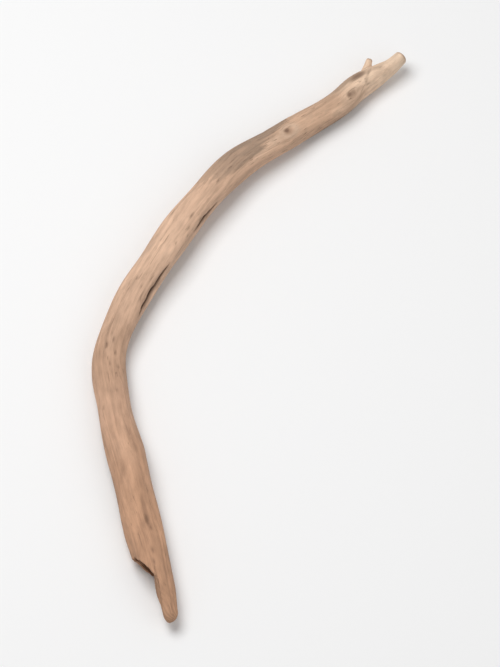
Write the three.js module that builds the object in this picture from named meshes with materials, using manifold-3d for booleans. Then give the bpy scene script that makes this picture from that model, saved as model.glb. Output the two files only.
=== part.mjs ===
// A bent piece of driftwood: one bare, sea-worn branch with a dog-leg bend, lying on a flat surface.
// One end narrows to a twig beside a broken side shoot. The other end is torn off on one side,
// so that only a narrow tongue of wood runs on past a ragged lip.
// Millimetres, +Z up. The origin is under the middle of the piece, on the surface it lies on.

import * as THREE from 'three';
import { mergeVertices } from 'three/addons/utils/BufferGeometryUtils.js';
import Module from 'manifold-3d';

// Driving dimensions: the centre line from the tongue's tip to the twig's end, as [x, y, z, radius].
// It is highest above the surface between its three resting places, which lie near the tear, at the
// bend and near the twig. There the radius is a little larger than z, and wear has left a small flat.
const STATIONS = [
  [-46.2, -169.5, 9.6, 7.6],
  [-49.2, -157.0, 10.0, 9.0],
  [-52.8, -136.0, 9.3, 9.4],
  [-57.7, -114.0, 8.6, 9.6],
  [-64.2, -84.0, 11.1, 9.9],
  [-72.6, -45.5, 10.2, 8.8],
  [-75.4, -12.5, 8.1, 8.7],
  [-66.4, 16.0, 9.7, 8.6],
  [-51.2, 43.4, 11.4, 9.1],
  [-31.5, 75.0, 11.8, 9.2],
  [-8.0, 104.4, 11.0, 8.8],
  [23.5, 128.4, 8.6, 7.8],
  [48.4, 146.8, 7.2, 7.7],
  [58.2, 156.7, 7.3, 7.3],
  [66.0, 162.2, 8.0, 6.4],
  [71.5, 165.6, 8.8, 5.5],
  [77.0, 169.2, 9.5, 4.6],
  [82.1, 174.0, 10.5, 4.0],
];

// The tear runs slantwise across the limb, far up on its left and far down on its right, and its
// upper lip hangs out over the lower one. The torn face is hollow by the undercut.
const TEAR_ALONG = 22;
const TEAR_SLANT = 13.3;
const TEAR_SOUND_SHARE = 0.35; // share of the slant on the right, where the wood is sound
const TEAR_OVERHANG = 5.4;
const TEAR_JAG = 0.6;
const TEAR_JAGS = 5;
const TEAR_UNDERCUT = 1.6;
const TEAR_EDGE = 0.9; // length of the worn edge between lip and tongue
const TONGUE_END = TEAR_ALONG - TEAR_EDGE;
const LIMB_LEAN_FADE = 20; // how far up the limb its rings still lean with the tear

// Past the tear only the limb's right side is left: where its torn left face lies, and its height
// at the tip as a share of the limb's.
const TONGUE_FACE = 0.8;
const TONGUE_FACE_WAVE = 0.5;
const TONGUE_FACE_WAVE_LENGTH = 25;
const TONGUE_TIP_HEIGHT = 0.46;
const TONGUE_CAP = 7;
const TWIG_CAP = 2.2;

// The broken side shoot beside the twig, flared where it leaves the limb.
const SHOOT_ROOT = new THREE.Vector3(62.6, 161.0, 8.6);
const SHOOT_TIP = new THREE.Vector3(65.2, 171.6, 11.6);
const SHOOT_RADII = [4.4, 4.0, 3.1, 2.5, 2.1, 1.8];
const SHOOT_CAP = 1.5;

// The section is never quite round: a little oval, with worn facets that wind along the grain.
const OVAL = 0.05;
const LOBE = 0.025;
const GRAIN_TWIST = THREE.MathUtils.degToRad(0.2); // turn of the grain for each millimetre of limb
const FLUTE = 0.28;
const FLUTES = 6;
const FLUTE_LENGTH = 195;
const SWELL = 0.35;
const SWELL_LENGTH = 46;
const WEAR_RADIUS = 9; // thinner wood than this is smoother in proportion

// Knots: place along the limb, angle round it (0 is its right, 90 its top), size, rise and eye depth.
const KNOTS = [
  { along: 332, angle: 75, size: 3.4, rise: 0.6, eye: 1.2 },
  { along: 374, angle: 63, size: 3.8, rise: 0.4, eye: 0.7 },
  { along: 226, angle: 245, size: 5.0, rise: 1.3, eye: 1.0 },
  { along: 96, angle: 325, size: 4.6, rise: 1.2, eye: 0.9 },
];
const KNOT_STRETCH = 1.4; // knots are longer along the grain than across it
const KNOT_EYE_SHARPNESS = 5;

// Drying checks: open cracks along the grain, each from and to a place along the limb.
const CHECKS = [
  { from: 248, to: 271, angle: 20, width: 1.3, depth: 3.2 },
  { from: 187, to: 224, angle: 24, width: 1.9, depth: 3.8 },
  { from: 90, to: 142, angle: 236, width: 1.2, depth: 3.0 },
  { from: 258, to: 306, angle: 200, width: 1.1, depth: 2.6 },
];
const CHECK_END = 0.08; // a check's width and depth at its ends, as a share of those in its middle
const CHECK_CLEARANCE = 1; // the cutting wedge stands this far out of the wood

// How finely the faces follow the wood.
const SIDES = 32;
const ROW_SPACING = 5.2;
const FINE_SPACING = 1.6;
const TONGUE_ROWS = 9;
const TEAR_REACH = 5; // rows lie close together this far up from the tear
const KNOT_REACH = 1.3; // and within this many knot sizes of a knot
const CAP_LIFTS = [0.35, 0.62, 0.82, 0.95];
const SHOOT_SIDES = 14;
const CHECK_STEPS = 10;

const WORN_WOOD = new THREE.MeshStandardMaterial({ color: 0xc8a184, roughness: 0.85, metalness: 0 });
const UP = new THREE.Vector3(0, 0, 1);
const FULL_TURN = 2 * Math.PI;
const { clamp, degToRad, lerp, smoothstep } = THREE.MathUtils;

const centreLine = new THREE.CatmullRomCurve3(
  STATIONS.map(([x, y, z]) => new THREE.Vector3(x, y, z)), false, 'centripetal',
);
const radiusLine = new THREE.SplineCurve(STATIONS.map((s, i) => new THREE.Vector2(i, s[3])));
const limbLength = centreLine.getLength();

// Place, directions and plain radius at a distance along the limb; past its ends it runs on straight.
function frameAt(along) {
  const share = clamp(along / limbLength, 0, 1);
  const t = centreLine.getUtoTmapping(share);
  const forward = centreLine.getTangent(t);
  const centre = centreLine.getPoint(t).addScaledVector(forward, along - share * limbLength);
  const side = new THREE.Vector3().crossVectors(forward, UP).normalize();
  const top = new THREE.Vector3().crossVectors(side, forward);
  return { centre, forward, side, top, radius: radiusLine.getPoint(t).y };
}

// A point of a section, `across` to the right of its centre and `up` above it.
function pointIn(frame, across, up) {
  return frame.centre.clone().addScaledVector(frame.side, across).addScaledVector(frame.top, up);
}

// The same by distance from the centre and angle round it.
function pointRound(frame, radius, angle) {
  return pointIn(frame, radius * Math.cos(angle), radius * Math.sin(angle));
}

function ringOf(sides, pointAt) {
  return Array.from({ length: sides }, (_, i) => pointAt((FULL_TURN * i) / sides));
}

function middleOf(points) {
  return points.reduce((sum, p) => sum.add(p), new THREE.Vector3()).divideScalar(points.length);
}

// Each knot stands proud in a soft mound and sinks to an eye in the middle.
function knotRelief(along, angle, radius) {
  let relief = 0;
  for (const knot of KNOTS) {
    const gap = angle - degToRad(knot.angle);
    const across = radius * Math.atan2(Math.sin(gap), Math.cos(gap));
    const reach = Math.hypot((along - knot.along) / KNOT_STRETCH, across) / knot.size;
    const eye = knot.eye * Math.exp(-KNOT_EYE_SHARPNESS * reach * reach);
    relief += knot.rise * Math.exp(-reach * reach) - eye;
  }
  return relief;
}

// The worn surface's distance from the centre line.
function limbRadius(along, angle, radius) {
  const grain = angle - GRAIN_TWIST * along;
  const section = 1 + OVAL * Math.cos(2 * grain) + LOBE * Math.cos(3 * grain + 1);
  const swell = SWELL * Math.sin((FULL_TURN * along) / SWELL_LENGTH + 2 * angle);
  const flutes = FLUTE * Math.cos(FLUTES * grain) * Math.sin((FULL_TURN * along) / FLUTE_LENGTH + 1);
  const wear = (swell + flutes) * Math.min(1, radius / WEAR_RADIUS);
  return radius * section + wear + knotRelief(along, angle, radius);
}

// How far the tear lies from its middle, along the limb, at each angle round it.
function tearShift(angle) {
  const right = Math.cos(angle);
  const slant = TEAR_SLANT * (right > 0 ? TEAR_SOUND_SHARE * right : right);
  return TEAR_JAG * Math.sin(TEAR_JAGS * angle + 1) - slant - TEAR_OVERHANG * Math.sin(angle);
}

// A ring of the whole limb. Near the tear it leans over to follow the lip.
function limbRing(along) {
  const lean = Math.exp((TEAR_ALONG - along) / LIMB_LEAN_FADE);
  return ringOf(SIDES, (angle) => {
    const place = along + lean * tearShift(angle);
    const frame = frameAt(place);
    return pointRound(frame, limbRadius(place, angle, frame.radius), angle);
  });
}

// A ring of the tongue, at a share of the way from its tip to the tear: the limb's right side up to
// the torn face. It leans over towards the tear and is lower towards the tip.
function tongueRing(share) {
  const height = lerp(TONGUE_TIP_HEIGHT, 1, smoothstep(share, 0, 1));
  return ringOf(SIDES, (angle) => {
    const torn = (1 - Math.cos(angle)) / 2;
    const place = share * (TONGUE_END + tearShift(angle) + TEAR_UNDERCUT * torn);
    const frame = frameAt(place);
    const radius = limbRadius(place, angle, frame.radius);
    const wave = Math.sin(3 * angle + (FULL_TURN * place) / TONGUE_FACE_WAVE_LENGTH);
    const across = Math.max(radius * Math.cos(angle), TONGUE_FACE + TONGUE_FACE_WAVE * wave);
    return pointIn(frame, across, height * radius * Math.sin(angle));
  });
}

// A rounded end on a ring: ever smaller rings, moved on in a direction by up to a height.
function capRings(ring, direction, height) {
  const middle = middleOf(ring);
  return CAP_LIFTS.map((lift) => {
    const centre = middle.clone().addScaledVector(direction, height * lift);
    const scale = Math.sqrt(1 - lift * lift);
    return ring.map((p) => p.clone().sub(middle).multiplyScalar(scale).add(centre));
  });
}

// Places of the limb's rings above the tear: close together at the tear and the knots.
function limbPlaces() {
  const places = [];
  let along = TEAR_ALONG;
  while (along < limbLength - FINE_SPACING) {
    places.push(along);
    const nearKnot = KNOTS.some((k) => Math.abs(along - k.along) < KNOT_REACH * k.size * KNOT_STRETCH);
    const nearTear = along < TEAR_ALONG + TEAR_REACH;
    along += nearKnot || nearTear ? FINE_SPACING : ROW_SPACING;
  }
  places.push(limbLength);
  return places;
}

// A closed surface through rings of points, with a fan over each end.
function loft(rings) {
  const sides = rings[0].length;
  const points = rings.flat();
  const faces = [];
  for (let row = 0; row + 1 < rings.length; row += 1) {
    for (let i = 0; i < sides; i += 1) {
      const a = row * sides + i;
      const b = row * sides + ((i + 1) % sides);
      faces.push(a, a + sides, b, b, a + sides, b + sides);
    }
  }
  for (const row of [0, rings.length - 1]) {
    const hub = points.push(middleOf(rings[row])) - 1;
    for (let i = 0; i < sides; i += 1) {
      const a = row * sides + i;
      const b = row * sides + ((i + 1) % sides);
      faces.push(hub, row === 0 ? a : b, row === 0 ? b : a);
    }
  }
  const geometry = new THREE.BufferGeometry().setFromPoints(points);
  geometry.setIndex(faces);
  return geometry;
}

// The limb and its tongue as one skin, from the tongue's tip to the twig's end, flat where it rests.
function limbGeometry() {
  const tongueRings = [];
  for (let row = 0; row <= TONGUE_ROWS; row += 1) {
    tongueRings.push(tongueRing(row / TONGUE_ROWS));
  }
  const limbRings = limbPlaces().map(limbRing);
  const rings = [
    ...capRings(tongueRings[0], frameAt(0).forward.negate(), TONGUE_CAP).reverse(),
    ...tongueRings,
    ...limbRings,
    ...capRings(limbRings.at(-1), frameAt(limbLength).forward, TWIG_CAP),
  ];
  for (const point of rings.flat()) {
    point.z = Math.max(point.z, 0);
  }
  return loft(rings);
}

// The side shoot: a short tapering peg with its root inside the limb.
function shootGeometry() {
  const forward = SHOOT_TIP.clone().sub(SHOOT_ROOT).normalize();
  const side = new THREE.Vector3().crossVectors(forward, UP).normalize();
  const top = new THREE.Vector3().crossVectors(side, forward);
  const rings = SHOOT_RADII.map((radius, i) => {
    const centre = SHOOT_ROOT.clone().lerp(SHOOT_TIP, i / (SHOOT_RADII.length - 1));
    return ringOf(SHOOT_SIDES, (angle) => pointRound({ centre, side, top }, radius, angle));
  });
  return loft([...rings, ...capRings(rings.at(-1), forward, SHOOT_CAP)]);
}

// The space of a drying check: a thin wedge along the grain, deepest in the middle of its length.
function checkGeometry(check) {
  const rings = [];
  for (let step = 0; step <= CHECK_STEPS; step += 1) {
    const share = step / CHECK_STEPS;
    const along = lerp(check.from, check.to, share);
    const angle = degToRad(check.angle) + GRAIN_TWIST * (along - check.from);
    const opening = lerp(CHECK_END, 1, Math.sqrt(Math.sin(Math.PI * share)));
    const frame = frameAt(along);
    const surface = limbRadius(along, angle, frame.radius);
    const depth = check.depth * opening;
    const rim = surface + CHECK_CLEARANCE;
    const halfWidth = (check.width * opening * (depth + CHECK_CLEARANCE)) / depth / 2;
    rings.push([
      pointRound(frame, surface - depth, angle),
      pointRound(frame, rim, angle - halfWidth / rim),
      pointRound(frame, rim, angle + halfWidth / rim),
    ]);
  }
  return loft(rings);
}

const wasm = await Module();
wasm.setup();

function solidOf(geometry) {
  const welded = mergeVertices(geometry);
  const vertProperties = Float32Array.from(welded.getAttribute('position').array);
  const triVerts = Uint32Array.from(welded.getIndex().array);
  return new wasm.Manifold(new wasm.Mesh({ numProp: 3, vertProperties, triVerts }));
}

let wood = solidOf(limbGeometry()).add(solidOf(shootGeometry()));
for (const check of CHECKS) {
  wood = wood.subtract(solidOf(checkGeometry(check)));
}

const skin = wood.getMesh();
const woodGeometry = new THREE.BufferGeometry();
woodGeometry.setAttribute('position', new THREE.BufferAttribute(skin.vertProperties, 3));
woodGeometry.setIndex(new THREE.BufferAttribute(skin.triVerts, 1));
woodGeometry.computeBoundingBox();
const middle = woodGeometry.boundingBox.getCenter(new THREE.Vector3());
woodGeometry.translate(-middle.x, -middle.y, -woodGeometry.boundingBox.min.z);

const driftwood = new THREE.Mesh(woodGeometry, WORN_WOOD);
driftwood.name = 'driftwood';

const part = new THREE.Group();
part.add(driftwood);

export default part;
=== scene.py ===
import math

import bpy
import numpy as np
from mathutils import Matrix, Vector, noise


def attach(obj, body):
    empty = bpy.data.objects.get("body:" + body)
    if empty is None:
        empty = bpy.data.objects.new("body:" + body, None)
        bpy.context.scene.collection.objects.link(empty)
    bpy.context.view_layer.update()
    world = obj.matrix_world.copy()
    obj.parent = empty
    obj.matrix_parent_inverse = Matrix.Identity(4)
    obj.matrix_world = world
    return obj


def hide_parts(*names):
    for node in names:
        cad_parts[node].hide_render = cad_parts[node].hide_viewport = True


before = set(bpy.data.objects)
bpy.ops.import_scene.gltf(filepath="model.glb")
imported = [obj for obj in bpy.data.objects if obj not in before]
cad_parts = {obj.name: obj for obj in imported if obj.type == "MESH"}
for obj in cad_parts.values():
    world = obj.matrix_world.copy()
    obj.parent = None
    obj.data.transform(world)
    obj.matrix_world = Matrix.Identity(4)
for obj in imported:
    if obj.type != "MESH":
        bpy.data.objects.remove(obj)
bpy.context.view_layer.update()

# The branch is one bare stick of driftwood, stripped of its bark and rubbed smooth by water and sand.
# It bends in a dog-leg between a twig end with a broken side shoot and a torn end with a narrow tongue.
# Its skin is one closed sheet: rings round the branch, in columns that wind along with the grain.

# The centre line from the tongue's tip to the twig's end: x, y, z and radius, in millimetres.
STATIONS = np.array([
    [-46.2, -169.5, 9.6, 7.6],
    [-49.2, -157.0, 10.0, 9.0],
    [-52.8, -136.0, 9.3, 9.4],
    [-57.7, -114.0, 8.6, 9.6],
    [-64.2, -84.0, 11.1, 9.9],
    [-72.6, -45.5, 10.2, 8.8],
    [-75.4, -12.5, 8.1, 8.7],
    [-66.4, 16.0, 9.7, 8.6],
    [-51.2, 43.4, 11.4, 9.1],
    [-31.5, 75.0, 11.8, 9.2],
    [-8.0, 104.4, 11.0, 8.8],
    [23.5, 128.4, 8.6, 7.8],
    [48.4, 146.8, 7.2, 7.7],
    [58.2, 156.7, 7.3, 7.3],
    [66.0, 162.2, 8.0, 6.4],
    [71.5, 165.6, 8.8, 5.5],
    [77.0, 169.2, 9.5, 4.6],
    [82.1, 174.0, 10.5, 4.0],
])
METRES = 0.001
SAMPLES_A_SPAN = 60


def smooth_through(rows, pace):
    """Samples of a smooth curve through rows of numbers, with a pace between each two of them."""
    rows = np.vstack([2 * rows[0] - rows[1], rows, 2 * rows[-1] - rows[-2]])
    pace = np.concatenate([pace[:1], pace, pace[-1:]])
    t = np.linspace(0, 1, SAMPLES_A_SPAN, endpoint=False)[:, None]
    samples = []
    for i in range(1, len(rows) - 2):
        before, start, end, after = rows[i - 1:i + 3]
        d0, d1, d2 = pace[i - 1:i + 2]
        leave = d1 * ((start - before) / d0 - (end - before) / (d0 + d1) + (end - start) / d1)
        arrive = d1 * ((end - start) / d1 - (after - start) / (d1 + d2) + (after - end) / d2)
        square = 3 * (end - start) - 2 * leave - arrive
        cube = 2 * (start - end) + leave + arrive
        samples.append(start + leave * t + square * t**2 + cube * t**3)
    samples.append(rows[-2:-1])
    return np.vstack(samples)


chords = np.linalg.norm(np.diff(STATIONS[:, :3], axis=0), axis=1)
centre_line = smooth_through(STATIONS[:, :3], np.sqrt(chords))
radius_line = smooth_through(STATIONS[:, 3:], np.ones(len(chords)))[:, 0]
steps = np.linalg.norm(np.diff(centre_line, axis=0), axis=1)
line_places = np.concatenate([[0], np.cumsum(steps)])
line_headings = np.gradient(centre_line, line_places, axis=0)
LENGTH = line_places[-1]


def unit(vectors):
    return vectors / np.linalg.norm(vectors, axis=-1, keepdims=True)


def along_line(values, places):
    return np.stack([np.interp(places, line_places, column) for column in values.T], axis=-1)


def line_at(places):
    """Centre, right, top and forward directions and plain radius at places along the branch."""
    inside = np.clip(places, 0, LENGTH)
    forward = unit(along_line(line_headings, inside))
    centre = along_line(centre_line, inside) + forward * (places - inside)[..., None]
    right = unit(np.cross(forward, [0, 0, 1]))
    top = np.cross(right, forward)
    return centre, right, top, forward, np.interp(inside, line_places, radius_line)


# The worn section: a little oval, with facets and flutes that wind along the grain, and knots.
GRAIN_TWIST = math.radians(0.2)
OVAL = 0.05
LOBE = 0.025
FLUTE = 0.28
FLUTES = 6
FLUTE_LENGTH = 195
SWELL = 0.35
SWELL_LENGTH = 46
WEAR_RADIUS = 9
KNOTS = [
    {"along": 332, "angle": 75, "size": 3.4, "rise": 0.6, "eye": 1.2, "stain_and_shade": 0.72, "halo": 1.0},
    {"along": 374, "angle": 63, "size": 3.8, "rise": 0.4, "eye": 0.7, "stain_and_shade": 0.7, "halo": 0.25},
    {"along": 226, "angle": 245, "size": 5.0, "rise": 1.3, "eye": 1.0, "stain_and_shade": 0.8, "halo": 0.6},
    {"along": 96, "angle": 325, "size": 4.6, "rise": 1.2, "eye": 0.9, "stain_and_shade": 0.7, "halo": 0.6},
]
KNOT_STRETCH = 1.4
KNOT_EYE_SHARPNESS = 5


def turn_between(a, b):
    return np.arctan2(np.sin(a - b), np.cos(a - b))


def knot_offsets(knot, along, angle, radius):
    """Distances from a knot along and across the grain, in knot sizes."""
    across = radius * turn_between(angle, math.radians(knot["angle"]))
    return (along - knot["along"]) / (KNOT_STRETCH * knot["size"]), across / knot["size"]


def worn_radius(along, angle, radius):
    """The surface's distance from the centre line, before its fine relief."""
    grain = angle - GRAIN_TWIST * along
    section = 1 + OVAL * np.cos(2 * grain) + LOBE * np.cos(3 * grain + 1)
    swell = SWELL * np.sin(2 * math.pi * along / SWELL_LENGTH + 2 * angle)
    flutes = FLUTE * np.cos(FLUTES * grain) * np.sin(2 * math.pi * along / FLUTE_LENGTH + 1)
    worn = radius * section + (swell + flutes) * np.minimum(1, radius / WEAR_RADIUS)
    for knot in KNOTS:
        down, across = knot_offsets(knot, along, angle, radius)
        reach = down**2 + across**2
        worn = worn + knot["rise"] * np.exp(-reach) - knot["eye"] * np.exp(-KNOT_EYE_SHARPNESS * reach)
    return worn


# Fine relief, in millimetres: weathered fibres, long furrows, drying checks, small pits, and the
# creases in the collar below the side shoot, with painted shade in the checks, pits and creases.
FACETS = {"height": 0.3, "length": 34, "width": 8, "seed": 1}
BUNDLES = {"height": 0.17, "length": 70, "width": 2.2, "seed": 2}
FIBRES = {"height": 0.09, "length": 26, "width": 0.9, "seed": 3}
FURROWS = {"height": 1, "length": 120, "width": 5, "seed": 4}
FURROW_DEPTH = 0.34
FURROW_WIDTH = 0.07
CHECKS = [
    {"from": 248, "to": 271, "angle": 20, "width": 1.3, "depth": 3.2},
    {"from": 187, "to": 224, "angle": 24, "width": 1.9, "depth": 3.8},
    {"from": 90, "to": 142, "angle": 236, "width": 1.2, "depth": 3.0},
    {"from": 258, "to": 306, "angle": 200, "width": 1.1, "depth": 2.6},
]
CHECK_WANDER = 0.3
CHECK_SHORT_WANDER = 2.9
CHECK_LONG_WANDER = 7.1
CHECK_LEAST_WIDTH = 0.02
CHECK_SHADE = 2.5
PITS = [
    (254, 66, 0.55), (247, 48, 0.5), (387, 51, 0.5), (167, 80, 0.6), (163, 101, 0.65),
    (159, 64, 0.55), (151, 84, 0.5), (149, 51, 0.45), (53, 75, 1.0), (47, 69, 0.55), (33, 82, 0.65),
    (26, 85, 0.5),
]
LOOSE_PITS = 24
LOOSE_PIT_PLACES = (30, 400)
LOOSE_PIT_SIZES = (0.3, 0.5)
LOOSE_PIT_SEED = 7
PIT_STRETCH = 3.2
PIT_DEPTH = 0.7
PIT_SHADE = 0.45
COLLAR_CREASES = [
    {"angle": (52, 130), "along": (385.5, 394.5), "width": 1.2, "strength": 1.0},
    {"angle": (40, 130), "along": (403, 394.5), "width": 1.9, "strength": 0.5},
]
COLLAR_DEPTH = 0.4
COLLAR_SHADE = 0.25
COLLAR_LOW_FADE = 20
COLLAR_HIGH_FADE = 12
SMOOTH_TWIG = 386
SMOOTH_TWIG_FADE = 12

# Where the grey outermost layer of the wood is left: its middle angle, half width in degrees and
# cover along the limb. Its edge is ragged, and its ends run out in fingers along the grain.
SILVERED = [
    {
        "along": [271, 278, 282, 292, 302, 313, 320, 326, 334, 342],
        "angle": [150, 142, 124, 116, 118, 126, 132, 142, 155, 165],
        "half": [-30, 43, 60, 70, 66, 60, 54, 44, 30, -30],
        "cover": [0.4, 0.5, 0.55, 0.85, 1, 1, 1, 1, 0.9, 0.8],
    },
    {
        "along": [352, 362, 371, 379, 386, 392],
        "angle": [152, 150, 146, 146, 150, 150],
        "half": [-30, 24, 34, 32, 26, -30],
        "cover": [0.4, 0.6, 0.7, 0.7, 0.6, 0.5],
    },
    {
        "along": [100, 130, 190, 240, 275],
        "angle": [250, 262, 275, 285, 290],
        "half": [-30, 30, 46, 38, -30],
        "cover": [0.7, 0.9, 1, 1, 0.8],
    },
    {
        "along": [30, 48, 80, 104, 125],
        "angle": [196, 200, 205, 212, 215],
        "half": [-30, 20, 28, 24, -30],
        "cover": [0.7, 0.9, 1, 0.9, 0.7],
    },
    {
        "along": [330, 346, 360, 376, 392],
        "angle": [300, 310, 322, 330, 335],
        "half": [-30, 26, 34, 26, -30],
        "cover": [0.7, 0.9, 1, 0.9, 0.7],
    },
]
SILVER_LONG_RAGS = {"height": 13, "length": 18, "width": 2.6, "seed": 9}
SILVER_SHORT_RAGS = {"height": 9, "length": 6.5, "width": 1.1, "seed": 10}
SILVER_FINGERS = {"height": 11, "length": 18, "width": 1.6, "seed": 12}
SILVER_FADE = 12
SILVER_THICKNESS = 0.2


def wood_noise(along, angle, radius, patch):
    """Noise over the straightened branch, up to a patch's height either way, in its length and width."""
    grain = angle - GRAIN_TWIST * along
    across = radius * np.cos(grain) / patch["width"]
    up = radius * np.sin(grain) / patch["width"]
    spots = np.stack(np.broadcast_arrays(along / patch["length"] + patch["seed"], across, up), axis=-1)
    values = [noise.noise(spot) for spot in spots.reshape(-1, 3).tolist()]
    return patch["height"] * np.reshape(values, spots.shape[:-1])


def check_grooves(along, angle, radius):
    """Depth of the drying checks, and how much painted shade each point gets in one, from 0 to 1."""
    depth = np.zeros_like(along)
    inside = np.zeros_like(along)
    for index, check in enumerate(CHECKS):
        share = np.clip((along - check["from"]) / (check["to"] - check["from"]), 0, 1)
        opening = np.sqrt(np.sin(math.pi * share))
        middle = math.radians(check["angle"]) + GRAIN_TWIST * (along - check["from"])
        short_wander = np.sin(along / CHECK_SHORT_WANDER + index)
        wander = CHECK_WANDER * short_wander * np.sin(along / CHECK_LONG_WANDER)
        gap = np.abs(radius * turn_between(angle, middle) + wander)
        width = np.maximum(check["width"] * opening, CHECK_LEAST_WIDTH)
        groove = np.clip(1 - gap / (width / 2), 0, 1)
        depth = depth + check["depth"] * opening * groove
        inside = np.maximum(inside, np.clip(CHECK_SHADE * groove * opening, 0, 1))
    return depth, inside


def pit_hollows(along, angle, radius):
    """Depth of the pits, and how far each point lies in one, from 0 to 1."""
    draws = np.random.default_rng(LOOSE_PIT_SEED)
    places = draws.uniform(*LOOSE_PIT_PLACES, LOOSE_PITS)
    turns = draws.uniform(0, 360, LOOSE_PITS)
    sizes = draws.uniform(*LOOSE_PIT_SIZES, LOOSE_PITS)
    depth = np.zeros_like(along)
    inside = np.zeros_like(along)
    for place, degrees, size in [*PITS, *zip(places, turns, sizes)]:
        across = radius * turn_between(angle, math.radians(degrees)) / size
        pit = np.exp(-((along - place) / (PIT_STRETCH * size))**2 - across**2)
        depth = depth + PIT_DEPTH * size * pit
        inside = np.maximum(inside, pit)
    return depth, inside


def collar_crease(along, angle):
    """How far each point lies in the wrinkles that run down from the side shoot, from 0 to 1."""
    degrees = np.degrees(turn_between(angle, 0))
    inside = np.zeros_like(along)
    for crease in COLLAR_CREASES:
        low, high = crease["angle"]
        middle = np.interp(degrees, crease["angle"], crease["along"])
        low_end = np.clip((degrees - low) / COLLAR_LOW_FADE, 0, 1)
        high_end = np.clip((high - degrees) / COLLAR_HIGH_FADE, 0, 1)
        crossing = np.exp(-((along - middle) / crease["width"])**2)
        inside = np.maximum(inside, crease["strength"] * low_end * high_end * crossing)
    return inside


def silver_share(along, angle, radius):
    """How much of the grey outermost layer is left at each point, from 0 to 1."""
    long_rags = wood_noise(along, angle, radius, SILVER_LONG_RAGS)
    short_rags = wood_noise(along, angle, radius, SILVER_SHORT_RAGS)
    place = along + wood_noise(along, angle, radius, SILVER_FINGERS)
    share = np.zeros_like(along)
    for layer in SILVERED:
        middle = np.radians(np.interp(place, layer["along"], layer["angle"]))
        off = np.degrees(np.abs(turn_between(angle, middle)))
        inside = np.interp(place, layer["along"], layer["half"]) - off + long_rags + short_rags
        cover = np.interp(place, layer["along"], layer["cover"])
        share = np.maximum(share, cover * np.clip(inside / SILVER_FADE, 0, 1))
    return share


def fine_relief(along, angle, radius):
    """Height of the fine relief, and how much painted shade each point gets in a hollow, from 0 to 1."""
    facets = wood_noise(along, angle, radius, FACETS)
    bundles = wood_noise(along, angle, radius, BUNDLES)
    fibres = wood_noise(along, angle, radius, FIBRES)
    furrows = FURROW_DEPTH * np.exp(-(wood_noise(along, angle, radius, FURROWS) / FURROW_WIDTH)**2)
    furrows = furrows * np.clip(1 - (along - SMOOTH_TWIG) / SMOOTH_TWIG_FADE, 0, 1)
    relief = (facets + bundles + fibres - furrows) * np.minimum(1, radius / WEAR_RADIUS)
    check_depth, in_check = check_grooves(along, angle, radius)
    pit_depth, in_pit = pit_hollows(along, angle, radius)
    crease = collar_crease(along, angle)
    silvered = silver_share(along, angle, radius)
    relief = relief + SILVER_THICKNESS * silvered - check_depth - pit_depth - COLLAR_DEPTH * crease
    hollow = np.maximum(in_check, np.maximum(PIT_SHADE * in_pit, COLLAR_SHADE * crease))
    return relief, hollow, silvered


# The tear runs slantwise across the limb, with its upper lip hanging out over the lower one.
# Past it only the limb's right side is left, as a tongue that gets lower towards its tip.
TEAR_ALONG = 22
TEAR_SLANT = 13.3
TEAR_SOUND_SHARE = 0.35
TEAR_OVERHANG = 5.4
TEAR_JAG = 0.6
TEAR_JAGS = 5
TEAR_SPLINTERS = {"height": 1.3, "length": 1, "width": 1.3, "seed": 5}
TEAR_SPLINTER_EDGE = 0.3
TEAR_UNDERCUT = 1.6
TEAR_EDGE = 0.9
LIMB_LEAN_FADE = 20
LIP_ROUND = 1.3
LIP_ROUND_EDGE = 0.3
LIP_ROUND_RISE = 2
LIP_SCOOP = 2.2
LIP_SCOOP_ANGLE = math.radians(112)
LIP_SCOOP_SPREAD = math.radians(30)
TONGUE_FACE = 0.8
TONGUE_FACE_WAVE = 0.5
TONGUE_FACE_WAVE_LENGTH = 25
TONGUE_SPLINTERS = {"height": 0.5, "length": 16, "width": 1.3, "seed": 6}
TONGUE_TIP_HEIGHT = 0.46
TORN_FADE = 1.5


def tear_shift(angle):
    """How far the tear lies from its middle, along the limb, at each angle round it."""
    right = np.cos(angle)
    slant = TEAR_SLANT * np.where(right > 0, TEAR_SOUND_SHARE * right, right)
    jags = TEAR_JAG * np.sin(TEAR_JAGS * angle + 1)
    splinters = wood_noise(np.zeros_like(angle), angle, WEAR_RADIUS, TEAR_SPLINTERS)
    torn_side = np.clip(TEAR_SPLINTER_EDGE - right, 0, 1)
    scoop = LIP_SCOOP * np.exp(-(turn_between(angle, LIP_SCOOP_ANGLE) / LIP_SCOOP_SPREAD)**2)
    return jags + splinters * torn_side + scoop - slant - TEAR_OVERHANG * np.sin(angle)


def limb_rows(along, columns):
    """Rows of the whole limb, leaning over near the tear to follow its lip."""
    angle = columns + GRAIN_TWIST * along[:, None]
    lean = np.exp((TEAR_ALONG - along) / LIMB_LEAN_FADE)[:, None]
    place = along[:, None] + lean * tear_shift(angle)
    centre, right, top, _, radius = line_at(place)
    relief, hollow, silvered = fine_relief(place, angle, radius)
    edge = np.clip(1 - (along[:, None] - TEAR_ALONG) / LIP_ROUND, 0, 1)
    torn_side = np.clip(LIP_ROUND_RISE * (LIP_ROUND_EDGE - np.cos(angle)), 0, 1)
    worn_edge = LIP_ROUND * (1 - np.sqrt(1 - edge**2)) * torn_side
    radius = worn_radius(place, angle, radius) + relief - worn_edge
    across = radius * np.cos(angle)
    up = radius * np.sin(angle)
    points = centre + right * across[..., None] + top * up[..., None]
    return {"points": points, "place": place, "angle": angle, "radius": radius, "relief": relief,
            "hollow": hollow, "silvered": silvered, "torn": np.zeros_like(radius)}


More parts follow.
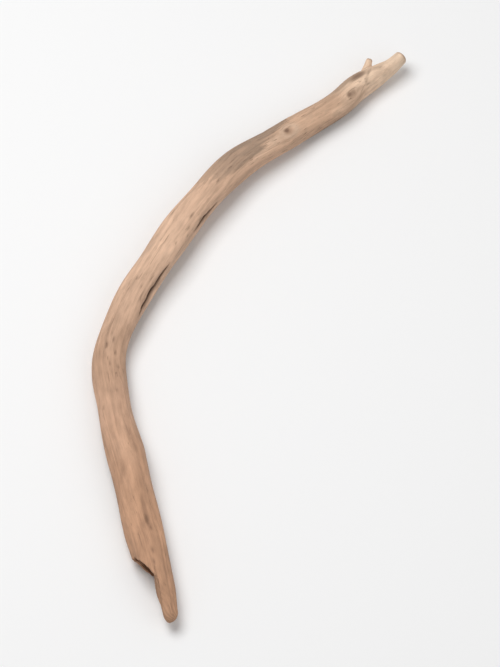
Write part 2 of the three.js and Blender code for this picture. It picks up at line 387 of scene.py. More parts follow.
def tongue_rows(along, columns):
    """Rows of the tongue: the limb's right side up to its torn face, lower towards the tip."""
    angle = columns + GRAIN_TWIST * along[:, None]
    share = (along / along[-1])[:, None]
    place = along[:, None] + share * (tear_shift(angle) + TEAR_UNDERCUT * (1 - np.cos(angle)) / 2)
    centre, right, top, _, radius = line_at(place)
    relief, hollow, silvered = fine_relief(place, angle, radius)
    radius = worn_radius(place, angle, radius) + relief
    height = TONGUE_TIP_HEIGHT + (1 - TONGUE_TIP_HEIGHT) * share**2 * (3 - 2 * share)
    wave = TONGUE_FACE_WAVE * np.sin(3 * angle + 2 * math.pi * place / TONGUE_FACE_WAVE_LENGTH)
    face = TONGUE_FACE + wave + wood_noise(place, angle, radius, TONGUE_SPLINTERS)
    across = np.maximum(radius * np.cos(angle), face)
    up = height * radius * np.sin(angle)
    torn = np.clip((face - radius * np.cos(angle)) / TORN_FADE, 0, 1)
    points = centre + right * across[..., None] + top * up[..., None]
    return {"points": points, "place": place, "angle": angle, "radius": np.hypot(across, up),
            "relief": relief, "hollow": hollow, "silvered": silvered * (1 - torn), "torn": torn}


# The torn face between the lip and the tongue: a thin layer of wood peels off under the lip.
# The layer's place and the shade in the hollows are given by shares of the way down from the lip.
PEEL_SHARES = [0, 0.08, 0.16, 0.24, 0.34, 0.55, 1]
PEEL_SHIFTS = [0, 0.9, 0.7, -1.7, -1.3, 0.8, 0]
WALL_SHADE_SHARES = [0, 0.1, 0.2, 0.45, 0.6, 1]
WALL_SHADES = [0, 0.8, 0, 0.3, 0.5, 0.2]
WALL_ROWS = 24
WALL_SPLINTERS = {"height": 4.5, "length": 40, "width": 2.4, "seed": 8}
WALL_SPLINTER_SINK = 0.9
WALL_FOOT = 1
WALL_HEIGHT = 5
WALL_LIP_SHARE = 1 / 6


def joined(groups):
    return {key: np.concatenate([group[key] for group in groups]) for key in groups[0]}


def wall_rows(tongue, limb):
    """Rows from the tongue's root up the torn face to the limb's lip."""
    rise = np.linalg.norm(limb["points"][:1] - tongue["points"][-1:], axis=-1)
    height = np.clip((rise - WALL_FOOT) / WALL_HEIGHT, 0, 1)
    forward = line_at(limb["place"][:1])[3]
    rows = []
    for share in np.linspace(0, 1, WALL_ROWS + 2)[1:-1]:
        row = {key: tongue[key][-1:] * (1 - share) + limb[key][:1] * share for key in limb}
        splinters = np.abs(wood_noise(row["place"], row["angle"], row["radius"], WALL_SPLINTERS))
        peel = np.interp(1 - share, PEEL_SHARES, PEEL_SHIFTS)
        shift = height * (peel + splinters - WALL_SPLINTER_SINK)
        row["points"] = row["points"] + forward * shift[..., None]
        row["place"] = row["place"] + shift
        row["torn"] = height * min(1, (1 - share) / WALL_LIP_SHARE)
        # Painted shade in the hollows of the torn face, darkest just under the lip.
        row["hollow"] = height * np.interp(1 - share, WALL_SHADE_SHARES, WALL_SHADES)
        rows.append(row)
    return joined(rows)


# The rounded ends: how far each stands out, how blunt it is and how many rows it has.
TONGUE_CAP = {"height": 7, "bluntness": 2.0, "rows": 12}
TWIG_CAP = {"height": 2.2, "bluntness": 2.4, "rows": 12}
SHOOT_CAP = {"height": 1.5, "bluntness": 2.6, "rows": 8}
CAP_WAVES = 4
CAP_TORN = 0.8
CAP_TORN_RISE = 2.5


def cap_rows(row, forward, cap):
    """A rounded end on one row: ever smaller and smoother rows, moved on by up to the cap's height."""
    bluntness = cap["bluntness"]
    lift = np.sin(np.linspace(0, math.pi / 2, cap["rows"] + 2)[1:-1])
    scale = (1 - lift**bluntness)**(1 / bluntness)
    middle = row["points"].mean(axis=1, keepdims=True)
    waves = np.fft.rfft(row["points"], axis=1)
    waves[:, CAP_WAVES:] = 0
    worn = np.fft.irfft(waves, row["points"].shape[1], axis=1)
    rows = {key: np.repeat(row[key], cap["rows"], axis=0) for key in row}
    outline = row["points"] + (worn - row["points"]) * lift[:, None, None]
    shrunk = (outline - middle) * scale[:, None, None] + middle
    rows["points"] = shrunk + forward * (cap["height"] * lift)[:, None, None]
    rows["radius"] = row["radius"] * scale[:, None]
    torn = np.minimum(CAP_TORN, CAP_TORN_RISE * np.sqrt(1 - scale[:, None]))
    rows["torn"] = np.maximum(rows["torn"], torn)
    return rows


# Where each point lies in the grown wood: along the grain, which winds round the branch and bends
# round the knots, and across it.
KNOT_PUSH = 0.5


def grain_place(skin):
    place, radius = skin["place"], skin["radius"]
    turn = skin["angle"] - GRAIN_TWIST * place
    for knot in KNOTS:
        down, across = knot_offsets(knot, place, skin["angle"], radius)
        push = knot["size"] * across * KNOT_PUSH / (down**2 + across**2 + KNOT_PUSH)
        turn = turn - push / np.maximum(radius, 1)
    return np.stack([place, radius * np.cos(turn), radius * np.sin(turn)], axis=-1)


# The broken side shoot: a short worn peg, flared at its root, that leans along the limb to the twig.
# It stands in a hole in the limb's skin, and a narrow band of faces joins the two.
SHOOT_ROOT = np.array([62.6, 161.0, 8.6])
SHOOT_TIP = np.array([65.2, 171.6, 11.6])
SHOOT_RADII = [4.4, 4.0, 3.1, 2.5, 2.1, 1.8]
SHOOT_LENGTH = 10
SHOOT_TURNS = 64
SHOOT_STEPS = 160
SHOOT_ROWS = 36
SHOOT_GRAIN_ROWS = 12
SHOOT_WEAR = {"height": 0.25, "length": 9, "width": 1.4, "seed": 11}
SHOOT_WEAR_RADIUS = 3.0
SHOOT_PLAIN_SHARE = 0.25
HOLE_MARGIN = 0.6


def place_of(points):
    """Place along the branch, angle round it and distance from its centre line."""
    nearest = np.linalg.norm(points[..., None, :] - centre_line, axis=-1).argmin(axis=-1)
    place = line_places[nearest]
    centre, right, top, _, _ = line_at(place)
    out = points - centre
    angle = np.arctan2(np.sum(out * top, axis=-1), np.sum(out * right, axis=-1))
    return place, angle, np.linalg.norm(out, axis=-1)


def shoot_rows():
    """Rows of the shoot, from where its wall leaves the limb to its blunt tip."""
    axis = unit(SHOOT_TIP - SHOOT_ROOT)
    side = unit(np.cross(axis, [0, 0, 1]))
    other_side = np.cross(side, axis)
    turns = np.arange(SHOOT_TURNS) * 2 * math.pi / SHOOT_TURNS
    ring = side * np.cos(turns)[:, None] + other_side * np.sin(turns)[:, None]

    def wall_at(shares):
        radii = np.interp(shares, np.linspace(0, 1, len(SHOOT_RADII)), SHOOT_RADII)
        return SHOOT_ROOT + shares[..., None] * (SHOOT_TIP - SHOOT_ROOT) + ring * radii[..., None]

    steps = np.repeat(np.linspace(0, 1, SHOOT_STEPS)[:, None], SHOOT_TURNS, axis=1)
    place, angle, reach = place_of(wall_at(steps))
    outside = reach > worn_radius(place, angle, np.interp(place, line_places, radius_line))
    foot = steps[outside.argmax(axis=0), 0]
    rise = np.linspace(0, 1, SHOOT_ROWS)[:, None]
    points = wall_at(foot + (1 - foot) * rise)
    height, bearing = np.broadcast_arrays(SHOOT_LENGTH * rise, turns)
    wear = wood_noise(height, bearing, SHOOT_WEAR_RADIUS, SHOOT_WEAR)
    points = points + ring * (wear * np.minimum(1, rise / SHOOT_PLAIN_SHARE))[..., None]
    place, angle, radius = place_of(points)
    plain = np.zeros_like(place)
    rows = {"points": points, "place": place, "angle": angle, "radius": radius, "relief": plain,
            "hollow": plain, "silvered": plain, "torn": plain}
    last = {key: value[-1:] for key, value in rows.items()}
    rows = joined([rows, cap_rows(last, axis, SHOOT_CAP)])
    limb_grain = grain_place(rows)
    out = rows["points"] - rows["points"][0].mean(axis=0)
    own_grain = limb_grain[0].mean(axis=0) + np.stack([out @ axis, out @ side, out @ other_side], axis=-1)
    away = np.clip(np.arange(len(out)) / SHOOT_GRAIN_ROWS, 0, 1)[:, None, None]
    rows["grain"] = limb_grain * (1 - away) + own_grain * away
    return rows


def grid_faces(grid):
    """Four-cornered faces between the rows of a grid of vertex numbers."""
    beside = np.roll(grid, -1, axis=1)
    return np.stack([grid[:-1], grid[1:], beside[1:], beside[:-1]], axis=-1).reshape(-1, 4)


def ring_of_hole(faces, removed):
    """Vertices round the hole that removed faces leave, in the order of the other faces' edges."""
    edges = {edge for k in range(4) for edge in zip(faces[:, k].tolist(), faces[:, (k + 1) % 4].tolist())}
    near = set(removed.ravel().tolist())
    following = {a: b for a, b in edges if a in near and b in near and (b, a) not in edges}
    ring = [min(following)]
    while following[ring[-1]] != ring[0]:
        ring.append(following[ring[-1]])
    return np.array(ring)


def band_faces(hole, hole_bearing, foot, foot_bearing):
    """Three-cornered faces between two rings of vertices that run the same way round."""
    start = np.abs(turn_between(foot_bearing, hole_bearing[0])).argmin()
    foot = np.roll(foot, -start)
    foot_turn = np.unwrap(np.append(np.roll(foot_bearing, -start), foot_bearing[start]))
    hole_turn = np.unwrap(np.append(hole_bearing, hole_bearing[0]))
    foot_turn = foot_turn + 2 * math.pi * np.round((hole_turn[0] - foot_turn[0]) / (2 * math.pi))
    faces = []
    i = 0
    j = 0
    while i < len(hole) or j < len(foot):
        if j == len(foot) or (i < len(hole) and hole_turn[i + 1] < foot_turn[j + 1]):
            faces.append((hole[(i + 1) % len(hole)], hole[i], foot[j % len(foot)]))
            i += 1
        else:
            faces.append((hole[i % len(hole)], foot[j], foot[(j + 1) % len(foot)]))
            j += 1
    return faces


# Columns lie closer together at the checks, and rows at the knots, the shoot and the tear.
COLUMNS = 92
CHECK_COLUMNS = np.array([-5.2, -3.2, -1.5, 0, 1.5, 3.2, 5.2])
COLUMN_GAP = 1.3
ROW_SPACING = 0.85
CLOSE_SPACING = 0.4
SHOOT_ALONG = 392
CLOSE_REACH = 9
KNOT_CLOSE_REACH = 5
CLOSE_PLACES = [(TEAR_ALONG, CLOSE_REACH), (SHOOT_ALONG, CLOSE_REACH)]
CLOSE_PLACES += [(knot["along"], KNOT_CLOSE_REACH) for knot in KNOTS]


def grain_columns():
    """Angles of the columns where the limb begins, in radians."""
    starts = [check["angle"] - math.degrees(GRAIN_TWIST) * check["from"] for check in CHECKS]
    close = np.concatenate([start + CHECK_COLUMNS for start in starts]) % 360
    even = np.arange(COLUMNS) * 360 / COLUMNS
    apart = np.abs((even[:, None] - close + 180) % 360 - 180).min(axis=1)
    return np.radians(np.sort(np.concatenate([close, even[apart > COLUMN_GAP]])))


def row_places(start, end):
    places = [start]
    while places[-1] < end - CLOSE_SPACING:
        close = any(abs(places[-1] - middle) < reach for middle, reach in CLOSE_PLACES)
        places.append(places[-1] + (CLOSE_SPACING if close else ROW_SPACING))
    return np.array(places)


columns = grain_columns()
tongue = tongue_rows(row_places(0, TEAR_ALONG - TEAR_EDGE), columns)
limb = limb_rows(row_places(TEAR_ALONG, LENGTH), columns)
wall = wall_rows(tongue, limb)
first_row = {key: value[:1] for key, value in tongue.items()}
last_row = {key: value[-1:] for key, value in limb.items()}
tongue_cap = cap_rows(first_row, -line_headings[0], TONGUE_CAP)
twig_cap = cap_rows(last_row, line_headings[-1], TWIG_CAP)
tongue_cap = {key: value[::-1] for key, value in tongue_cap.items()}
skin = joined([tongue_cap, tongue, wall, limb, twig_cap])
skin["grain"] = grain_place(skin)
shoot = shoot_rows()
skin["points"][..., 2] = np.maximum(skin["points"][..., 2], 0)


# Marks on the skin, as numbers from 0 to 1: the knots' dark hearts and pale rims, brown stains,
# painted shade along lower edges and beside the checks, and pale patches. A heart is darkest at one side.
STAINS_AND_SHADE = [
    {"along": 385, "angle": 117, "length": 5.8, "width": 2.3, "stain_and_shade": 0.8},
    {"along": 374.5, "angle": 63, "length": 3.3, "width": 2.1, "stain_and_shade": 0.55},
    {"along": 331.5, "angle": 74, "length": 2.4, "width": 1.7, "stain_and_shade": 0.4},
    {"along": 379, "angle": 60, "length": 4.5, "width": 1.3, "stain_and_shade": 0.3},
    {"along": 104, "angle": 63, "length": 16, "width": 1.7, "stain_and_shade": 0.2},
    {"along": 78, "angle": 67, "length": 17, "width": 1.6, "stain_and_shade": 0.18},
    {"along": 57, "angle": 72, "length": 13, "width": 1.4, "stain_and_shade": 0.22},
    {"along": 108, "angle": 230, "length": 22, "width": 3.0, "stain_and_shade": 0.25},
    {"along": 300, "angle": 265, "length": 15, "width": 2.5, "stain_and_shade": 0.3},
    # Painted shade: the next four darken the lower edge of the upper arm and the right edge beside two
    # checks.
    {"along": 350, "angle": 9, "length": 24, "width": 3.2, "stain_and_shade": 0.2},
    {"along": 290, "angle": 14, "length": 17, "width": 2.8, "stain_and_shade": 0.13},
    {"along": 259, "angle": 22, "length": 11, "width": 1.8, "stain_and_shade": 0.35},
    {"along": 206, "angle": 28, "length": 17, "width": 2.3, "stain_and_shade": 0.4},
]
PALE_PATCHES = [
    {"along": 311, "angle": 56, "length": 9, "width": 2.3, "pale": 0.8},
    {"along": 322, "angle": 70, "length": 8, "width": 2.6, "pale": 0.9},
]
HEART_OFFSET = 0.22
HEART_SHARPNESS = 6
HEART_GAIN = 1.5
HEART_CUT = 0.3
HEART_MIDDLE = 0.25
RIM_REACH = 0.95
RIM_WIDTH = 0.4
RAISED_MOST = 0.5


def spot_reach(spot, along, angle, radius):
    """Squared distance from the middle of a spot that follows the grain, in its own sizes."""
    down = along - spot["along"]
    across = radius * turn_between(angle, math.radians(spot["angle"]) + GRAIN_TWIST * down)
    return (down / spot["length"])**2 + (across / spot["width"])**2


def knot_marks(along, angle, radius):
    """How much knot heart, stain and painted shade shows at each point, and how much pale rim or patch.
    """
    heart = np.zeros_like(along)
    rim = np.zeros_like(along)
    for knot in KNOTS:
        down, across = knot_offsets(knot, along, angle, radius)
        reach = np.hypot(down, across)
        dark_side = np.exp(-HEART_SHARPNESS * ((down + HEART_OFFSET)**2 + (across - HEART_OFFSET)**2))
        middle = np.exp(-HEART_SHARPNESS * reach**2)
        dark = np.clip(HEART_GAIN * dark_side - HEART_CUT + HEART_MIDDLE * middle, 0, 1)
        heart = np.maximum(heart, knot["stain_and_shade"] * dark)
        rim = np.maximum(rim, knot["halo"] * np.exp(-((reach - RIM_REACH) / RIM_WIDTH)**2))
    for spot in STAINS_AND_SHADE:
        reach = spot_reach(spot, along, angle, radius)
        heart = np.maximum(heart, spot["stain_and_shade"] * np.exp(-reach**2))
    for spot in PALE_PATCHES:
        reach = spot_reach(spot, along, angle, radius)
        rim = np.maximum(rim, spot["pale"] * np.exp(-reach))
    return heart, rim


def with_hubs(values):
    """Values for every vertex of a grid, then for a vertex in the middle of each end."""
    flat = values.reshape(-1, *values.shape[2:])
    return np.concatenate([flat, values[:1].mean(axis=1), values[-1:].mean(axis=1)])


def end_faces(row, hub):
    return [(hub, a, b) for a, b in zip(row.tolist(), np.roll(row, -1).tolist())]


def wood_faces(skin, shoot):
    """Faces of the limb with a hole for the shoot's foot, of the shoot and of the band between them."""
    limb_grid = np.arange(skin["place"].size).reshape(skin["place"].shape)
    shoot_start = limb_grid.size + 2
    shoot_grid = shoot_start + np.arange(shoot["place"].size).reshape(shoot["place"].shape)
    foot_place, foot_angle, foot_radius = [shoot[key][0] for key in ("place", "angle", "radius")]
    middle_angle = foot_angle[0] + turn_between(foot_angle, foot_angle[0]).mean()

    def spread(part):
        down = part["place"] - foot_place.mean()
        across = foot_radius.mean() * turn_between(part["angle"], middle_angle)
        return np.hypot(down, across), np.arctan2(-across, down)

    reach, bearing = spread(skin)
    foot_reach, foot_bearing = [values[0] for values in spread(shoot)]
    inside = reach < HOLE_MARGIN + np.interp(bearing, foot_bearing, foot_reach, period=2 * math.pi)
    limb_faces = grid_faces(limb_grid)
    gone = inside.ravel()[limb_faces].any(axis=1)
    hole = ring_of_hole(limb_faces[~gone], limb_faces[gone])
    band = band_faces(hole, bearing.ravel()[hole], shoot_grid[0], foot_bearing)
    ends = end_faces(limb_grid[0], limb_grid.size)
    ends += end_faces(limb_grid[-1, ::-1], limb_grid.size + 1)
    ends += end_faces(shoot_grid[-1, ::-1], shoot_start + shoot_grid.size + 1)
    return [*limb_faces[~gone].tolist(), *grid_faces(shoot_grid).tolist(), *band, *ends]


faces = wood_faces(skin, shoot)
used = np.unique([corner for face in faces for corner in face])
number = {int(old): new for new, old in enumerate(used)}
faces = [[number[int(corner)] for corner in face] for face in faces]


def whole(key):
    """A quantity for every vertex of the mesh."""
    return np.concatenate([with_hubs(skin[key]), with_hubs(shoot[key])])[used]


def keep_on_mesh(mesh, name, values):
    kind = "FLOAT_VECTOR" if values.ndim == 2 else "FLOAT"
    field = "vector" if values.ndim == 2 else "value"
    layer = mesh.attributes.new(name, kind, "POINT")
    layer.data.foreach_set(field, values.astype(np.float32).ravel())


mesh = bpy.data.meshes.new("driftwood")
mesh.from_pydata(whole("points") * METRES, [], faces)
heart, rim = knot_marks(whole("place"), whole("angle"), whole("radius"))
keep_on_mesh(mesh, "grain", whole("grain") * METRES)
keep_on_mesh(mesh, "hollow", whole("hollow"))
keep_on_mesh(mesh, "torn", whole("torn"))
keep_on_mesh(mesh, "silvered", whole("silvered"))
keep_on_mesh(mesh, "heart", heart)
keep_on_mesh(mesh, "rim", rim)
keep_on_mesh(mesh, "raised", np.clip(whole("relief"), -RAISED_MOST, RAISED_MOST))
mesh.shade_smooth()

# The branch lies with the middle of its box over the origin, as in the frame.
corners = whole("points")
middle = (corners.min(axis=0) + corners.max(axis=0)) / 2 * METRES
mesh.transform(Matrix.Translation((-middle[0], -middle[1], 0)))
driftwood = bpy.data.objects.new("driftwood_skin", mesh)
bpy.context.collection.objects.link(driftwood)


class Shade:
    """A socket of a material: arithmetic on it adds Math nodes."""

    def __init__(self, tree, socket=None):
        self.tree = tree
        self.socket = socket

    def node(self, kind, settings, sockets, output=0):
        """One node: its settings are set first, then the values or links of its sockets."""
        node = self.tree.nodes.new(kind)
        for name, value in settings.items():
            if name == "stops":
                self.set_stops(node.color_ramp.elements, value)
            else:
                setattr(node, name, value)
        for name, value in sockets.items():
            if isinstance(value, Shade):
                self.tree.links.new(value.socket, node.inputs[name])
            else:
                node.inputs[name].default_value = value
        return Shade(self.tree, node.outputs[output] if node.outputs else None)

    def set_stops(self, elements, stops):
        while len(elements) < len(stops):
            elements.new(1)
        for element, (position, colour) in zip(elements, stops):
            element.position = position
            element.color = colour

    def maths(self, operation, first, second):
        return self.node("ShaderNodeMath", {"operation": operation}, {0: first, 1: second})

    def __add__(self, other):
        return self.maths("ADD", self, other)

    def __radd__(self, other):
        return self.maths("ADD", other, self)

    def __sub__(self, other):
        return self.maths("SUBTRACT", self, other)

    def __rsub__(self, other):
        return self.maths("SUBTRACT", other, self)

    def __mul__(self, other):
        return self.maths("MULTIPLY", self, other)

    def __rmul__(self, other):
        return self.maths("MULTIPLY", other, self)

    def attribute(self, name, output="Fac"):
        return self.node("ShaderNodeAttribute", {"attribute_name": name}, {}, output)

    def step(self, low, high):
        """0 below low, 1 above high, and smooth between them."""
        ends = {"Value": self, "From Min": low, "From Max": high}
        return self.node("ShaderNodeMapRange", {"interpolation_type": "SMOOTHSTEP"}, ends)

    def over(self, colour, share):
        """This colour with another laid over it by a share."""
        return self.node("ShaderNodeMix", {"data_type": "RGBA"}, {0: share, 6: self, 7: colour}, 2)

    def brighter(self, factor):
        return self.node("ShaderNodeVectorMath", {"operation": "SCALE"}, {0: self, "Scale": factor})

    def streaks(self, length, width, seed, detail):
        """Noise from 0 to 1 on grain coordinates, in streaks so long and so wide in metres."""
        stretch = {0: self, 1: (1 / length, 1 / width, 1 / width), 2: (seed, seed, seed)}
        spot = self.node("ShaderNodeVectorMath", {"operation": "MULTIPLY_ADD"}, stretch)
        return self.node("ShaderNodeTexNoise", {}, {"Vector": spot, "Scale": 1.0, "Detail": detail})


# Weathered wood: tan to pinkish grey, with fibre streaks, short dark flecks, silvered patches and knots,
# with painted shade in its hollows, along lower edges and beside checks, and a painted highlight on
# raised relief.
WOOD_ALONG = [
    (0.00, (0.488, 0.278, 0.170, 1)),
    (0.08, (0.500, 0.284, 0.174, 1)),
    (0.13, (0.550, 0.314, 0.193, 1)),
    (0.18, (0.540, 0.312, 0.194, 1)),
    (0.30, (0.580, 0.358, 0.240, 1)),
    (0.38, (0.515, 0.320, 0.212, 1)),
    (0.43, (0.600, 0.386, 0.264, 1)),
    (0.56, (0.690, 0.458, 0.320, 1)),
    (0.74, (0.637, 0.412, 0.282, 1)),
    (0.88, (0.640, 0.416, 0.280, 1)),
    (0.94, (0.790, 0.565, 0.405, 1)),
    (1.00, (0.800, 0.605, 0.445, 1)),
]
SILVER_COLOUR = (0.330, 0.228, 0.162, 1)
PALE_COLOUR = (0.720, 0.530, 0.390, 1)
FLECK_COLOUR = (0.160, 0.092, 0.058, 1)
LINE_COLOUR = (0.270, 0.165, 0.110, 1)
KNOT_STAIN_AND_SHADE_COLOUR = (0.130, 0.070, 0.042, 1)
HOLLOW_SHADE_COLOUR = (0.060, 0.032, 0.020, 1)
TORN_COLOUR = (0.400, 0.235, 0.145, 1)
RING_SPACING = 0.0012
RING_WANDER = 9
RING_LIGHT = 0.035
TORN_RING_LIGHT = 0.10

# Streaks along the grain: length and width in metres, seed and detail of the noise.
PATCHES = (0.024, 0.007, 3.1, 2.0)
MOTTLES = (0.0060, 0.0024, 5.2, 3.0)
SPECKS = (0.0030, 0.0009, 17.4, 1.0)
BUNDLE_STREAKS = (0.060, 0.0016, 7.7, 3.0)
FIBRE_STREAKS = (0.022, 0.00045, 12.3, 3.0)
THREADS = (0.010, 0.00020, 31.0, 2.0)
DASHES = (0.0060, 0.0007, 21.9, 1.0)
HAIR_CRACKS = (0.30, 0.0016, 41.3, 1.0)
HAIR_CRACK_BREAKS = (0.016, 0.0030, 47.6, 1.0)

# How far each kind of streak lightens and darkens the wood, and how much the torn wood and the relief do:
# the relief as a painted highlight on raised parts and painted shade in low ones, the checks and pits
# among them.
PATCH_LIGHT = 0.45
MOTTLE_LIGHT = 0.45
BUNDLE_LIGHT = 0.40
FIBRE_LIGHT = 0.42
THREAD_LIGHT = 0.22
TORN_EVENNESS = 0.4
RAISED_PAINTED_LIGHT = 0.30
PATCH_DRIFT = 0.12

# How much of each colour is laid over the wood, and between which values of its streaks it sets in.
TORN_COVER = 0.7
PALE_COVER = 0.45
SILVER_COVER = 0.5
SILVER_MOTTLE_COVER = 0.25
SILVER_MOTTLE_EDGE = (0.3, 0.65)
SILVER_BUNDLE_COVER = 0.3
SILVER_BUNDLE_EDGE = (0.35, 0.6)
SPECK_COVER = 0.35
SPECK_EDGE = (0.60, 0.76)
LINE_COVER = 0.35
LINE_EDGE = (0.58, 0.72)
CRACK_COVER = 0.45
CRACK_EDGE = (0.006, 0.022)
CRACK_BREAK_EDGE = (0.54, 0.66)
MOTTLE_COVER = 0.35
MOTTLE_EDGE = (0.42, 0.66)
DASH_COVER = 0.6
DASH_EDGE = (0.68, 0.80)
DASH_PATCH_EDGE = (0.38, 0.60)
HOLLOW_SHADE_COVER = 0.9

# The upper arm, as shares of the branch's length, is more mottled and flecked than the rest.
UPPER_ARM_START = (0.62, 0.80)
UPPER_ARM_END = (0.90, 0.95)
UPPER_ARM_DASHES = 0.07
UPPER_ARM_PATCHES = 0.1

FIBRE_HEIGHT = 0.6
BUNDLE_HEIGHT = 0.8
DASH_HEIGHT = 0.25
THREAD_HEIGHT = 0.15
CRACK_HEIGHT = -0.35
BUMP_STRENGTH = 0.6
BUMP_DISTANCE = 0.0006
ROUGHNESS = 0.74
BUNDLE_ROUGHNESS = 0.18
TORN_ROUGHNESS = 0.1
GLOSS = 0.3


def weathered_wood():
    material = bpy.data.materials.new("weathered_wood")
    material.use_nodes = True
    material.node_tree.nodes.clear()
    pen = Shade(material.node_tree)
    grain = pen.attribute("grain", "Vector")
    along = pen.node("ShaderNodeSeparateXYZ", {}, {0: grain})
    torn = pen.attribute("torn")
    silvered = pen.attribute("silvered")
    across = pen.node("ShaderNodeVectorMath", {"operation": "MULTIPLY"}, {0: grain, 1: (0, 1, 1)})
    depth = pen.node("ShaderNodeVectorMath", {"operation": "LENGTH"}, {0: across}, "Value")

    patches = grain.streaks(*PATCHES)
    mottles = grain.streaks(*MOTTLES)
    specks = grain.streaks(*SPECKS)
    bundles = grain.streaks(*BUNDLE_STREAKS)
    fibres = grain.streaks(*FIBRE_STREAKS)
    threads = grain.streaks(*THREADS)
    dashes = grain.streaks(*DASHES)
    off_crack = grain.streaks(*HAIR_CRACKS) - 0.5
    off_crack = pen.node("ShaderNodeMath", {"operation": "ABSOLUTE"}, {0: off_crack})
    broken = grain.streaks(*HAIR_CRACK_BREAKS).step(*CRACK_BREAK_EDGE)
    cracks = (1 - off_crack.step(*CRACK_EDGE)) * broken * (1 - torn)
    ring_turn = depth * (2 * math.pi / RING_SPACING) + RING_WANDER * patches
    rings = pen.node("ShaderNodeMath", {"operation": "SINE"}, {0: ring_turn})

    share_along = along * (1 / (LENGTH * METRES))
    tone_place = share_along + PATCH_DRIFT * (patches - 0.5)
    colour = pen.node("ShaderNodeValToRGB", {"stops": WOOD_ALONG}, {0: tone_place})
    colour = colour.over(TORN_COLOUR, TORN_COVER * torn)
    uneven = PATCH_LIGHT * (patches - 0.5) + MOTTLE_LIGHT * (mottles - 0.5)
    uneven = uneven + BUNDLE_LIGHT * (bundles - 0.5) + FIBRE_LIGHT * (fibres - 0.5)
    uneven = uneven + THREAD_LIGHT * (threads - 0.5)
    light = 1 + uneven * (1 - TORN_EVENNESS * torn) + rings * (RING_LIGHT + TORN_RING_LIGHT * torn)
    # Painted highlight and shade: raised relief is made lighter, and low relief with its checks and pits
    # darker.
    colour = colour.brighter(light + RAISED_PAINTED_LIGHT * pen.attribute("raised"))
    colour = colour.over(PALE_COLOUR, PALE_COVER * pen.attribute("rim"))

    silver_mottles = SILVER_MOTTLE_COVER * mottles.step(*SILVER_MOTTLE_EDGE)
    silver_bundles = SILVER_BUNDLE_COVER * bundles.step(*SILVER_BUNDLE_EDGE)
    colour = colour.over(SILVER_COLOUR, silvered * (SILVER_COVER + silver_mottles + silver_bundles))
    colour = colour.over(FLECK_COLOUR, SPECK_COVER * silvered * specks.step(*SPECK_EDGE))
    colour = colour.over(LINE_COLOUR, LINE_COVER * fibres.step(*LINE_EDGE))
    colour = colour.over(FLECK_COLOUR, CRACK_COVER * cracks)
    upper_arm = share_along.step(*UPPER_ARM_START) * (1 - share_along.step(*UPPER_ARM_END))
    colour = colour.over(SILVER_COLOUR, MOTTLE_COVER * upper_arm * mottles.step(*MOTTLE_EDGE))
    dashes_shown = (dashes + UPPER_ARM_DASHES * upper_arm).step(*DASH_EDGE)
    dash_patches = (patches + UPPER_ARM_PATCHES * upper_arm).step(*DASH_PATCH_EDGE)
    colour = colour.over(FLECK_COLOUR, DASH_COVER * (dashes_shown * dash_patches))
    # Knot hearts and stains, with painted shade along the lower edges and beside the checks.
    colour = colour.over(KNOT_STAIN_AND_SHADE_COLOUR, pen.attribute("heart"))
    # Painted shade: the checks, pits, collar creases and the torn face under the lip are darkened.
    colour = colour.over(HOLLOW_SHADE_COLOUR, HOLLOW_SHADE_COVER * pen.attribute("hollow"))

    height = FIBRE_HEIGHT * fibres + BUNDLE_HEIGHT * bundles + DASH_HEIGHT * dashes
    height = height + THREAD_HEIGHT * threads + CRACK_HEIGHT * cracks
    relief = {"Strength": BUMP_STRENGTH, "Distance": BUMP_DISTANCE, "Height": height}
    surface = pen.node("ShaderNodeBsdfPrincipled", {}, {
        "Base Color": colour,
        "Roughness": ROUGHNESS + BUNDLE_ROUGHNESS * (bundles - 0.5) + TORN_ROUGHNESS * torn,
        "Specular IOR Level": GLOSS,
        "Normal": pen.node("ShaderNodeBump", {}, relief),
    })
    pen.node("ShaderNodeOutputMaterial", {}, {0: surface})
    return material


mesh.materials.append(weathered_wood())
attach(driftwood, "root")
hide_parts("driftwood")

# The stage: a plain near-white floor under the branch, with a large soft light from the upper left,
# a weaker one from the lower right and an even pale sky all round.
FLOOR_COLOUR = (0.90, 0.90, 0.90, 1)
FLOOR_ROUGHNESS = 0.9
FLOOR_HALF = 3.0
SKY_COLOUR = (1.0, 1.0, 1.0, 1)
SKY_STRENGTH = 0.35
LIGHTS = [
    {"name": "key", "at": (-0.42, 0.25, 1.3), "size": 0.9, "power": 13.5},
    {"name": "fill", "at": (0.7, -0.7, 1.0), "size": 1.1, "power": 3},
]

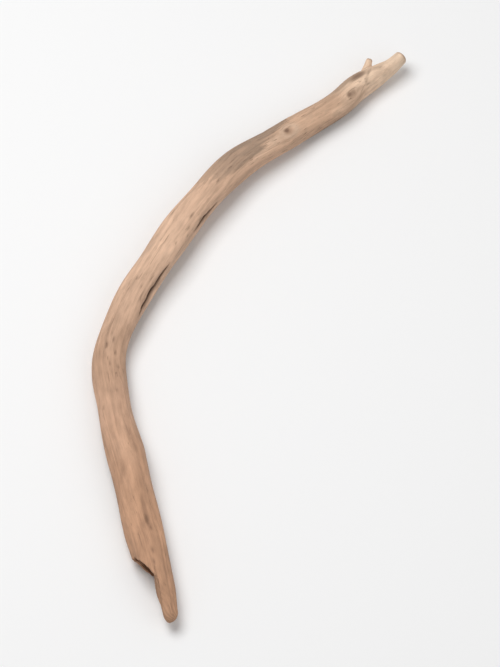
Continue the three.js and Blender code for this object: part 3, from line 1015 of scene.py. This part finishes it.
floor_mesh = bpy.data.meshes.new("floor")
floor_corners = [(x * FLOOR_HALF, y * FLOOR_HALF, 0) for x, y in [(-1, -1), (1, -1), (1, 1), (-1, 1)]]
floor_mesh.from_pydata(floor_corners, [], [(0, 1, 2, 3)])
floor_material = bpy.data.materials.new("floor")
floor_material.use_nodes = True
floor_finish = floor_material.node_tree.nodes["Principled BSDF"].inputs
floor_finish["Base Color"].default_value = FLOOR_COLOUR
floor_finish["Roughness"].default_value = FLOOR_ROUGHNESS
floor_mesh.materials.append(floor_material)
floor = bpy.data.objects.new("floor", floor_mesh)
bpy.context.collection.objects.link(floor)

sky = bpy.data.worlds.new("sky")
sky.use_nodes = True
sky_light = sky.node_tree.nodes["Background"].inputs
sky_light["Color"].default_value = SKY_COLOUR
sky_light["Strength"].default_value = SKY_STRENGTH
bpy.context.scene.world = sky


def aim(thing, target):
    """Turns a light or the camera towards a point."""
    thing.rotation_euler = (Vector(target) - thing.location).to_track_quat("-Z", "Y").to_euler()


for light in LIGHTS:
    lamp = bpy.data.lights.new(light["name"], "AREA")
    lamp.size = light["size"]
    lamp.energy = light["power"]
    lamp_object = bpy.data.objects.new(light["name"], lamp)
    lamp_object.location = light["at"]
    aim(lamp_object, (0, 0, 0))
    bpy.context.collection.objects.link(lamp_object)

# The camera looks from the front, 60 degrees down, with a long lens.
CAMERA_ELEVATION = math.radians(60)
CAMERA_LENS = 600
CAMERA_SENSOR = 36
CAMERA_VIEW_HEIGHT = 0.359
CAMERA_TARGET = Vector((0, 0, 0.01))
camera_distance = CAMERA_VIEW_HEIGHT * CAMERA_LENS / CAMERA_SENSOR
camera_data = bpy.data.cameras.new("camera")
camera_data.lens = CAMERA_LENS
camera_data.sensor_width = CAMERA_SENSOR
camera = bpy.data.objects.new("camera", camera_data)
toward_camera = Vector((0, -math.cos(CAMERA_ELEVATION), math.sin(CAMERA_ELEVATION)))
camera.location = CAMERA_TARGET + toward_camera * camera_distance
aim(camera, CAMERA_TARGET)
bpy.context.collection.objects.link(camera)
bpy.context.scene.camera = camera
bpy.context.scene.view_settings.view_transform = "Standard"
